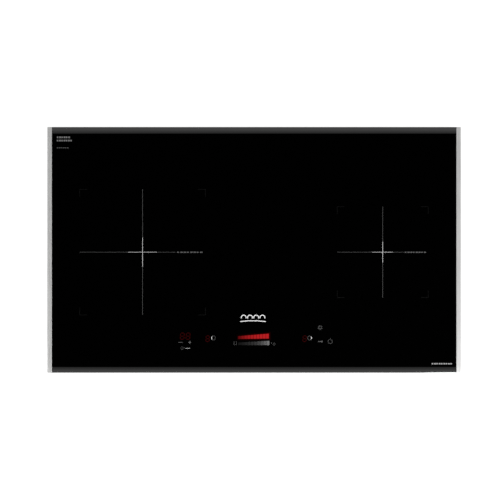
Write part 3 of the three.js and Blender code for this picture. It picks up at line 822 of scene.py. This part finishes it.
def wedge(sketch, low, high, right, grow=0, lift=PRINT_LIFT, steps=LEVEL_STEPS, gap=LEVEL_GAP):
    """A row of steps between a low and a high line, each given as (left Y, right Y)."""
    left, right = LEVEL_LEFT - grow, right + grow
    step = (right - left) / steps
    for i in range(steps):
        a = left + i * step
        b = a + step - gap
        outline = []
        for x, (start, end), out in ((a, low, -grow), (b, low, -grow), (b, high, grow), (a, high, grow)):
            outline.append((x, start + (end - start) * (x - left) / (right - left) + out))
        patch(sketch, outline, lift)


def level_wedges():
    """The lit level display in its glow, and the printed slide below it."""
    for i in range(HALOS):
        glow = HALO_GLOW * HALO_FALL**i
        tones = [(-29, glow * 0.2), (-15, glow * 0.5), (28, glow)]
        halo = Sketch()
        lift = 0.035 - 0.005 * i
        wedge(halo, LEVEL_LOW, LEVEL_HIGH, LEVEL_RIGHT, 0.6 * (i + 1), lift, steps=1, gap=0)
        lit_piece(f"level_halo_{i}", halo, lit(f"halo_{i}", (1, 0.02, 0.03), 1, tones))
    level, slide = Sketch(), Sketch()
    wedge(level, LEVEL_LOW, LEVEL_HIGH, LEVEL_RIGHT, lift=0.05)
    lit_piece("level_wedge", level, LEVEL_LIGHT)
    wedge(slide, SLIDE_LOW, SLIDE_HIGH, SLIDE_RIGHT)
    print_piece("slide_wedge", slide, "slide")


TOUCH_PIECES = {"bright": "touch_marks_bright", "soft": "touch_marks", "dim": "touch_marks_dim"}
# Rectangles of the touch marks, each (x0, y0, x1, y1)
TOUCH_BARS = {
    "bright": [(-121.6, -174, -113.2, -173.5)],
    "soft": [
        (-116, -163.6, -111.2, -163),  # plus
        (-113.9, -165.7, -113.3, -160.9),
        (113.2, -162, 118.4, -161.4),  # key
    ],
    "dim": [
        (-133.8, -163.7, -126.2, -162.9),  # minus
        (-127.55, -173.6, -127.25, -171.8),  # clock hand
        (134.15, -159.4, 134.65, -155.4),  # power sign
        (113.2, -162.9, 114, -161.9),  # key's bit
    ],
}
# Their arcs, each (x, y, radius, start, end, steps, width)
TOUCH_ARCS = {
    "soft": [(119.6, -161.7, 1, 0, 345, 20, 0.6)],  # key's bow
    "dim": [
        (-72.1, -155.5, 3.7, 0, 350, 40, 0.5),  # zone rings
        (98.2, -155.5, 3.7, 0, 350, 40, 0.5),
        (-127.4, -173.6, 2.4, 0, 345, 30, 0.3),  # clock
        (134.4, -161.8, 3.75, 112, 428, 40, 0.5),  # power sign
        (116.4, -137.2, 2.4, 0, 345, 30, 0.7),  # sun
        (35.2, -166.2, 1.9, 0, 345, 24, 0.45),  # high power
    ],
}
# The filled half of a zone ring, between two arcs, and where each ring is and which way it faces
CRESCENT = arc(0, -155.5, 3.8, 107, 253, 16) + arc(3.15, -155.5, 5.6, 220.5, 139.5, 16)
RINGS = ((-72.1, 1), (98.2, -1))
SUN = (116.4, -137.2)
SUN_RAYS = 8


def touch_symbols():
    """Plain marks of the touch keys."""
    sketches = {tone: Sketch() for tone in TOUCH_PIECES}
    bright, dim = sketches["bright"], sketches["dim"]
    for x, hand in RINGS:
        patch(bright, [(x + hand * a, b) for a, b in CRESCENT][::hand])
    for i in range(SUN_RAYS):
        angle = math.radians(45 * i + 22.5)
        band(dim, [polar(3.2, angle, *SUN), polar(4.4, angle, *SUN)], 0.6)
    band(dim, [(-35.6, -161.2), (-35.6, -167.6), (-31.6, -167.6), (-31.6, -161.2)], 0.5)
    patch(dim, circle(0.7, 16, 30.6, -164.7))
    for tone, sketch in sketches.items():
        for corners in TOUCH_BARS[tone]:
            bar(sketch, *corners)
        for *points, width in TOUCH_ARCS.get(tone, ()):
            band(sketch, arc(*points), width)
        print_piece(TOUCH_PIECES[tone], sketch, tone)


# ---- details on the outside ----

# A screw head's outside, as shares of its radius and height
SCREW_DOME = [(1.25, 0), (1.25, 0.2), (1, 0.25), (0.97, 0.55), (0.82, 0.82), (0.6, 1)]
SCREW_SIDES = 24
TAB_THICKNESS = 0.9
TAB_OUTLINE = [(4, -8), (7.5, 8.6), (38.5, 8.6), (42, -8)]  # (height, along the wall)
RIVET_DOME = [(2.5, 0), (2.3, 0.5), (1.7, 0.95), (0.9, 1.15), (0.1, 1.2)]  # (radius, height)
LABEL_ROWS = ((22, 14), (30, 9, 12), (18, 20), (26, 8), (14, 14, 10))  # widths of the bars
LABEL_PRINT = (0.1, 0.16)  # heights over the wall between which the label's bars lie
COVER_FACE = 191.8
COVER_RIB = [(-0.9, 0), (0.9, 0), (0.55, 0.9), (-0.55, 0.9)]
NUT_SIDES = 60


def pan_head(sketch, place, radius, height):
    """A domed screw head with a six-lobed recess, on a thin washer."""
    angles = [FULL_TURN * i / SCREW_SIDES for i in range(SCREW_SIDES)]
    recess = [polar(radius * (0.37 + 0.06 * math.cos(6 * angle)), angle) for angle in angles]
    layers = [(circle(radius * share, SCREW_SIDES), height * level) for share, level in SCREW_DOME]
    sketch.stack([*layers, (recess, height), (recess, height * 0.35)], place)


def screw_piece(name, places, radius, height, body="root"):
    sketch = Sketch()
    for place in places:
        pan_head(sketch, place, radius, height)
    piece(name, sketch, "screw", body=body, smooth=30)


def frame_screws():
    z = span("glass_frame")[0].z + 4.6
    places = []
    for sign in SIGNS:
        places += [facing(x, sign * 192, z, (0, sign, 0)) for x in (-286, -170, 170, 286)]
        places += [facing(sign * 342, y, z, (sign, 0, 0)) for y in (-112, 0, 112)]
    screw_piece("frame_screws", places, 2.7, 1.9)


def corner_tabs():
    """The folded flaps that lap the tray's side walls at each corner pocket, and their rivets."""
    tabs, rivets = Sketch(), Sketch()
    for sx, sy in CORNERS:
        sideways = Matrix.Rotation(math.radians(90 * sx), 4, "Y")
        place = Matrix.Translation((sx * TRAY_WALL, sy * 125, 0)) @ sideways
        tabs.prism([(-z * sx, y * sy) for z, y in TAB_OUTLINE], 0, TAB_THICKNESS, place)
        for z in (11, 35):
            place = facing(sx * (TRAY_WALL + TAB_THICKNESS), sy * 126, z, (sx, 0, 0))
            rivets.stack([(circle(radius, 20), height) for radius, height in RIVET_DOME], place)
    piece("corner_tabs", tabs, "steel", bevel=0.25)
    piece("corner_rivets", rivets, "steel", LOOKS["spring_steel"], smooth=40)


def rating_label():
    """A blank foil label on the right wall, with plain bars and boxes in place of print."""
    upright = Matrix(((0, 0, 1, 0), (1, 0, 0, 0), (0, 1, 0, 0), (0, 0, 0, 1)))
    place = Matrix.Translation((TRAY_WALL, 0, 26)) @ upright
    low, high = LABEL_PRINT
    foil, marks = Sketch(), Sketch()
    foil.prism(rounded(-38, -14, 38, 14, 2), 0, 0.12, place)
    for row, widths in enumerate(LABEL_ROWS):
        left, y = -34, 9.6 - row * 4.6
        for width in widths:
            marks.prism(rectangle(left, y, left + width, y + 1.3), low, high, place)
            left += width + 2.4
    for y in (-12, -4, 4):
        outline = rounded(27.5, y, 34.5, y + 6.5, 1.2)
        hole = rounded(28.1, y + 0.6, 33.9, y + 5.9, 0.8)
        marks.frame(outline, hole, low, high, place)
    piece("rating_label", foil, "label")
    piece("rating_label_bars", marks, "print", PRINTS["faint"])


def cover_details():
    """Ribs and a screw on the terminal cover, which turn with it."""
    ribs = Sketch()
    for i in range(7):
        x = -30 + i * 9
        ribs.prism([(x + a, COVER_FACE + b) for a, b in COVER_RIB], 14, 36)
    piece("terminal_cover_ribs", ribs, "plastic", body="cover", bevel=0.2)
    place = facing(-36.5, COVER_FACE, 38.5, (0, 1, 0))
    screw_piece("terminal_cover_screw", [place], 2.4, 1.5, body="cover")


def inlet_details():
    """The gland nut and its grip ridges round the cable inlet."""
    centre = middle("cable_inlet")
    radii = [14.7 if i % 4 < 2 else 14.2 for i in range(NUT_SIDES)]
    ridges = [polar(radius, FULL_TURN * i / NUT_SIDES) for i, radius in enumerate(radii)]
    sketch = Sketch()
    place = facing(centre.x, 190.2, centre.z, (0, 1, 0))
    sketch.frame(ridges, circle(12.9, NUT_SIDES), 0, 1.6, place)
    piece("inlet_nut", sketch, "plastic", bevel=0.15)


# ---- details inside ----

BOARD_TOP = 9.6
PLATE_TOP = span("coil_plate")[1].z
MICA_HOLE = 13  # radius of the hole for the sensor
MICA_SIDES = 128
LITZ_WIRE = 1.18
LITZ_PITCH = 2.5
LITZ_FIRST = 31.3  # radius where the winding starts
FERRITE_START = 28
FERRITE_HALF = 5.5
FERRITE_HEIGHT = 4.4


def mica_disc(side):
    """The mica sheet over a coil, truly round where the frame's one has flats."""
    name = f"{side}_mica_sheet"
    low, high = span(name)
    sketch = Sketch()
    outside, inside = circle((high.x - low.x) / 2, MICA_SIDES), circle(MICA_HOLE, MICA_SIDES)
    sketch.frame(outside, inside, low.z, high.z, standing(*middle(name).xy))
    piece(f"{side}_mica_disc", sketch, "mica", replaces=[name], smooth=30)


def twist(i, angle):
    """How a litz wire's section swells and turns along its route."""
    return 1 + 0.06 * math.cos(3 * angle + i * 0.9)


def litz_coil(side):
    """Two layers of twisted litz wire wound in a spiral."""
    low, high = span(f"{side}_coil_winding")
    turns = int((high.x - ZONES[side].x - LITZ_FIRST - LITZ_WIRE) / LITZ_PITCH)
    inset = LITZ_WIRE + 0.05
    sketch = Sketch()
    for layer, z in enumerate((low.z + inset, high.z - inset)):
        start = layer * math.pi
        route = spiral(*ZONES[side], turns, 44, (LITZ_FIRST, LITZ_PITCH), (z, 0), start, SIDES[side])
        sketch.tube(route, LITZ_WIRE, sides=6, section=twist)
    piece(f"{side}_litz_coil", sketch, "copper", replaces=[f"{side}_coil_winding"], smooth=70)


def ferrite_bars(side):
    """Eight ferrite bars below a coil, between the carrier's spokes, and the carrier's screws."""
    reach = span(f"{side}_coil_winding")[1].x - ZONES[side].x
    low = PLATE_TOP + 0.6
    bars = Sketch()
    for i in range(8):
        place = standing(*ZONES[side], math.radians(22.5 + 45 * i))
        outline = rectangle(FERRITE_START, -FERRITE_HALF, reach - 12, FERRITE_HALF)
        bars.prism(outline, low, low + FERRITE_HEIGHT, place)
    piece(f"{side}_ferrite_bars", bars, "ferrite", bevel=0.6)
    top = span(f"{side}_coil_carrier")[1].z
    spots = circle(reach + 1.5, 4, *ZONES[side])
    screw_piece(f"{side}_carrier_screws", [facing(x, y, top) for x, y in spots], 2.2, 1.4)


def cylinder_part(sketch, x, y, radius, height):
    sketch.disc(radius, BOARD_TOP, BOARD_TOP + height, standing(x, y), sides=24, chamfer=radius * 0.12)


def box_part(sketch, x, y, width, depth, height, low=BOARD_TOP):
    outline = rectangle(x - width / 2, y - depth / 2, x + width / 2, y + depth / 2)
    sketch.prism(outline, low, low + height)


AXIAL_BODY = {-0.5: 0.75, -0.42: 1, -0.3: 0.86, 0.3: 0.86, 0.42: 1, 0.5: 0.75}
LEAD_RADIUS = 0.35
HEADER_PITCH = 2.5


def axial_part(sketch, x, y, length, radius, low=BOARD_TOP):
    """A resistor or diode lying on its two bent leads."""
    z = low + radius + 0.6
    swell = list(AXIAL_BODY.values())
    body = [Vector((x, y + length * share, z)) for share in AXIAL_BODY]
    sketch.tube(body, radius, sides=12, section=lambda i, angle: swell[i])
    for sign in SIGNS:
        bends = [(0, z), (2, z), (2.6, z - 0.6), (2.7, low - 0.2)]
        lead = [Vector((x, y + sign * (length * 0.5 + out), height)) for out, height in bends]
        sketch.tube(lead, LEAD_RADIUS, sides=6)


def pin_header(sketch, x, y, count):
    """A connector housing with a row of pins."""
    width = (count + 0.8) * HEADER_PITCH
    base = BOARD_TOP + 1.6
    box_part(sketch, x, y, width, 6.4, 1.6)
    box_part(sketch, x, y - 2.7, width, 1, 6.4, base)
    for i in range(count):
        box_part(sketch, x + (i - (count - 1) / 2) * HEADER_PITCH, y, 0.64, 0.64, 5.6, base)


# A board's small parts by kind, each (function, x, y, sizes); the left power board mirrors them
CHIP_SPOTS = ((222, -120), (246, -120))
CHIP_LEGS = [
    (x + (i - 3) * 2.4, y + row * 4.1) for x, y in CHIP_SPOTS for i in range(7) for row in SIGNS
]
POWER_BOARD = {
    "chips": [
        *((cylinder_part, x, -126, 6.3, 18) for x in (160, 176)),
        *((cylinder_part, x, -132, 4, 11) for x in (190, 200)),
        *((box_part, x, y, 17, 7, 1.9) for x, y in CHIP_SPOTS),
        *((axial_part, x, -94, 5.2, 1.4) for x in (256, 263, 270)),
    ],
    "relays": [
        *((box_part, 132, y, 20, 12.5, 15.5) for y in (-128, -112)),
        *((pin_header, x, y, pins) for x, y, pins in ((180, -105, 6), (290, -84, 3), (150, -88, 4))),
    ],
    "film_parts": [
        (box_part, 272, -124, 24, 20, 17), (box_part, 202, 12, 9, 20, 16), (box_part, 202, -14, 7, 16, 13),
    ],
    "resistors": [(axial_part, 206 + 7 * i, -94, 6.2, 1.15) for i in range(6)],
    "pins": [
        *((cylinder_part, x, y, 3.4, 9) for x, y in ((138, -62), (146, -74))),
        *((box_part, x, y, 0.5, 1.6, 0.5) for x, y in CHIP_LEGS),
    ],
}
FILTER_BOARD = {
    "chips": [(cylinder_part, x, 76, 5, 13) for x in (10, 42)],
    "relays": [(box_part, 26, 140, 30, 9, 7), (pin_header, -30, 70, 5)],
    "film_parts": [(box_part, -26, 128, 26, 14, 22), (box_part, -26, 106, 26, 12, 19)],
    "resistors": [(cylinder_part, x, 86, 3.6, 8) for x in (-40, -26, -12)],
    "pins": [(axial_part, 26, 128, 14, 2.6, BOARD_TOP + 1)],
}
# Slot and rounding of each kind
BOARD_KINDS = {
    "chips": ("chip", 0.25),
    "relays": ("terminal", 0.3),
    "film_parts": ("capacitor", 0.8),
    "resistors": ("sensor", 0),
    "pins": ("spring_steel", 0),
}


def board_parts(name, parts, sign=1):
    """One piece for each kind of small part on a board."""
    for kind, (slot, bevel) in BOARD_KINDS.items():
        sketch = Sketch()
        for draw, x, y, *sizes in parts[kind]:
            draw(sketch, sign * x, y, *sizes)
        piece(f"{name}_board_{kind}", sketch, slot, bevel=bevel)


def wire_turn(place, inner, outer, low, high, wire):
    """Rings of one rounded turn of wire round a core's section."""
    a, b = inner - wire * 0.9, outer + wire * 0.9
    c, d = low - wire * 0.9, high + wire * 0.9
    loop = [(a, c + 2), (a + 1, c + 0.5), (a + 2.2, c), (b - 2.2, c), (b - 1, c + 0.5), (b, c + 2)]
    loop += [(b, d - 2), (b - 1, d - 0.5), (b - 2.2, d), (a + 2.2, d), (a + 1, d - 0.5), (a, d - 2)]
    rings = []
    for r, z in loop:
        out = Vector((r - (a + b) / 2, 0, z - (c + d) / 2)).normalized()
        spots = [Vector((r, across, z)) + out * away for away, across in circle(wire, 6)]
        rings.append([place @ spot for spot in spots])
    return rings


def ring_choke(name, x, y, section, turns, wire, inset, replaces=()):
    """Turns of wire round a ring core; the section is (inner, outer, low, high)."""
    inner, outer, low, high = section
    winding, core = Sketch(), Sketch()
    for i in range(turns):
        place = standing(x, y, FULL_TURN * (i + 0.5) / turns)
        winding.skin(wire_turn(place, *section, wire), loop=True)
    across, up = inset
    outside, inside = circle(outer - across, 48), circle(inner + across, 48)
    core.frame(outside, inside, low + up, high - up, standing(x, y))
    piece(f"{name}_wire", winding, "choke", replaces=replaces, smooth=60)
    piece(f"{name}_core", core, "ferrite", bevel=0.6)


def power_choke(side):
    name = f"{side}_choke"
    low, high = span(name)
    section = (9.9, (high.x - low.x) / 2 - 1.9, low.z + 1.9, high.z - 1.9)
    ring_choke(name, *middle(name).xy, section, 26, 0.95, (0.5, 0.5), [name])


def filter_choke():
    ring_choke("filter_choke", 26, 100, (10, 18.4, 12.4, 25), 22, 1, (0.8, 0.4))


FAN_X, FAN_Y = 262, 120
FAN_HALF = 35.75  # from the fan's middle to its screws
BOARD_POSTS = ((118, -144), (118, 60), (306, -144), (306, 60), (52, 68), (52, 180))


def board_screws():
    """Screws in the boards' posts and the fans' corners."""
    sketch = Sketch()
    for sign in SIGNS:
        for x, y in BOARD_POSTS:
            pan_head(sketch, facing(sign * x, y, BOARD_TOP), 2.3, 1.6)
        for sx, sy in CORNERS:
            place = facing(sign * FAN_X + sx * FAN_HALF, FAN_Y + sy * FAN_HALF, 26.5)
            pan_head(sketch, place, 2.6, 1.6)
    piece("board_screws", sketch, "screw", smooth=30)


def terminal_screws():
    y, top = middle("terminal_block").y, span("terminal_block")[1].z
    places = [facing(x, y, top) for x in (-22, -11, 0, 11, 22)]
    screw_piece("terminal_screws", places, 2.6, 1.6)


def wire_route(name, points, radius, shade, sign=1):
    sketch = Sketch()
    sketch.tube(smooth_route([(sign * x, y, z) for x, y, z in points]), radius, sides=8)
    piece(name, sketch, "lead", WIRE_LOOKS[shade], smooth=60)


def supply_wires():
    for i, shade in enumerate(("brown", "blue")):
        y = 84 - 5 * i
        end = y - 90 + i * 2
        for side, sign in SIDES.items():
            points = [(56, y, 12), (70, y, 16), (84, y - 20, 17), (92, y - 60, 13)]
            points += [(104, y - 84, 12), (122, end, 12)]
            wire_route(f"{side}_supply_wire_{shade}", points, 1.3, shade, sign)


def earth_wire():
    points = [(-18, 181, 20), (-30, 185.5, 18), (-48, 185, 10), (-62, 180, 5), (-70, 172, 4)]
    wire_route("earth_wire", points, 1.5, "green")
    lug = Sketch()
    lug.disc(4.5, 1.3, 2.2, standing(-71, 168), chamfer=0.2)
    pan_head(lug, facing(-71, 168, 2.2), 3, 2)
    piece("earth_lug", lug, "screw", smooth=30)


def fan_wires():
    for side, sign in SIDES.items():
        for i, shade in enumerate(("red", "black")):
            x = FAN_X - 38 - 2.5 * i
            points = [(x, 84, 24), (x, 78, 25), (212, 74 - 3 * i, 22), (208, 60, 14), (206, 50, 11)]
            wire_route(f"{side}_fan_wire_{shade}", points, 0.7, shade, sign)


CONTACTS = [
    (-129.5, -167), (-114, -167), (-120, -175), (-98, -157), (101, -172),
    (116.4, -163), (134.4, -163), (116.4, -139), (-60, -157), (64, -157),
]
CONTACT_LOW, CONTACT_HIGH = 52.5, 57.2  # from the touch board to the underside of the glass
CONTACT_TURNS = 5


def touch_contacts():
    """The touch board's small contact springs and chips."""
    springs, chips = Sketch(), Sketch()
    rise = (CONTACT_HIGH - CONTACT_LOW) / CONTACT_TURNS
    for x, y in CONTACTS:
        route = spiral(x, y, CONTACT_TURNS, 12, (2.6, 0), (CONTACT_LOW, rise))
        springs.tube(route, 0.3, sides=6)
    for x, width in ((-100, 9), (-60, 7), (50, 12), (80, 7)):
        box_part(chips, x, -138, width, 7, 1.4, 52)
    piece("touch_contact_springs", springs, "spring_steel", smooth=70)
    piece("touch_board_chips", chips, "chip", bevel=0.2)


def fan_foil(side):
    """A blank foil disc on the rotor's hub, which turns with it."""
    rotor = f"{side}_fan_rotor"
    top = span(rotor)[1].z
    sketch = Sketch()
    sketch.disc(9.5, top - 0.02, top + 0.12, standing(*middle(rotor).xy), sides=40)
    piece(f"{side}_fan_hub_foil", sketch, "label", body=f"{side}_fan")


# ---- making everything ----

# Rounding of the CAD's edges in each slot, where it is not the plain one
EDGE_WIDTHS = {
    "steel": 0.3, "bracket": 0.35, "screw": 0.2, "coil_plate": 0.3, "plastic": 0.35, "carrier": 0.4,
}
PLAIN_EDGE = 0.25
WELD_REACH = 0.002
FLAT_ANGLE = 0.5  # faces that differ by less than this many degrees become one


def dress_cad():
    """Gives every CAD node its procedural material and softly rounded edges."""
    slots = {part["node"]: part["material_slot"] for part in frame["record"]["subparts"]}
    for name, node in frame["nodes"].items():
        for slot in node.material_slots:
            slot.material = LOOKS[slots[name]]
        weld = node.modifiers.new("weld", "WELD")
        weld.merge_threshold = WELD_REACH * MM
        flatten = node.modifiers.new("flatten", "DECIMATE")
        flatten.decimate_type = "DISSOLVE"
        flatten.angle_limit = math.radians(FLAT_ANGLE)
        soften(node, EDGE_WIDTHS.get(slots[name], PLAIN_EDGE))
        node.modifiers.new("normals", "WEIGHTED_NORMAL")


add_camera()
add_sky()
add_softbox()
add_floor()
SCENE.view_settings.view_transform = "Standard"
dress_cad()
glass_panel()
coil_symbol()
plain_bars()
lit_figures()
level_wedges()
touch_symbols()
frame_screws()
corner_tabs()
rating_label()
cover_details()
inlet_details()
board_parts("filter", FILTER_BOARD)
filter_choke()
board_screws()
terminal_screws()
supply_wires()
earth_wire()
fan_wires()
touch_contacts()
for side_name, side_sign in SIDES.items():
    board_parts(side_name, POWER_BOARD, side_sign)
    for make in (trim, zone_cross, zone_dashes, zone_corners, mica_disc, litz_coil, ferrite_bars):
        make(side_name)
    power_choke(side_name)
    fan_foil(side_name)
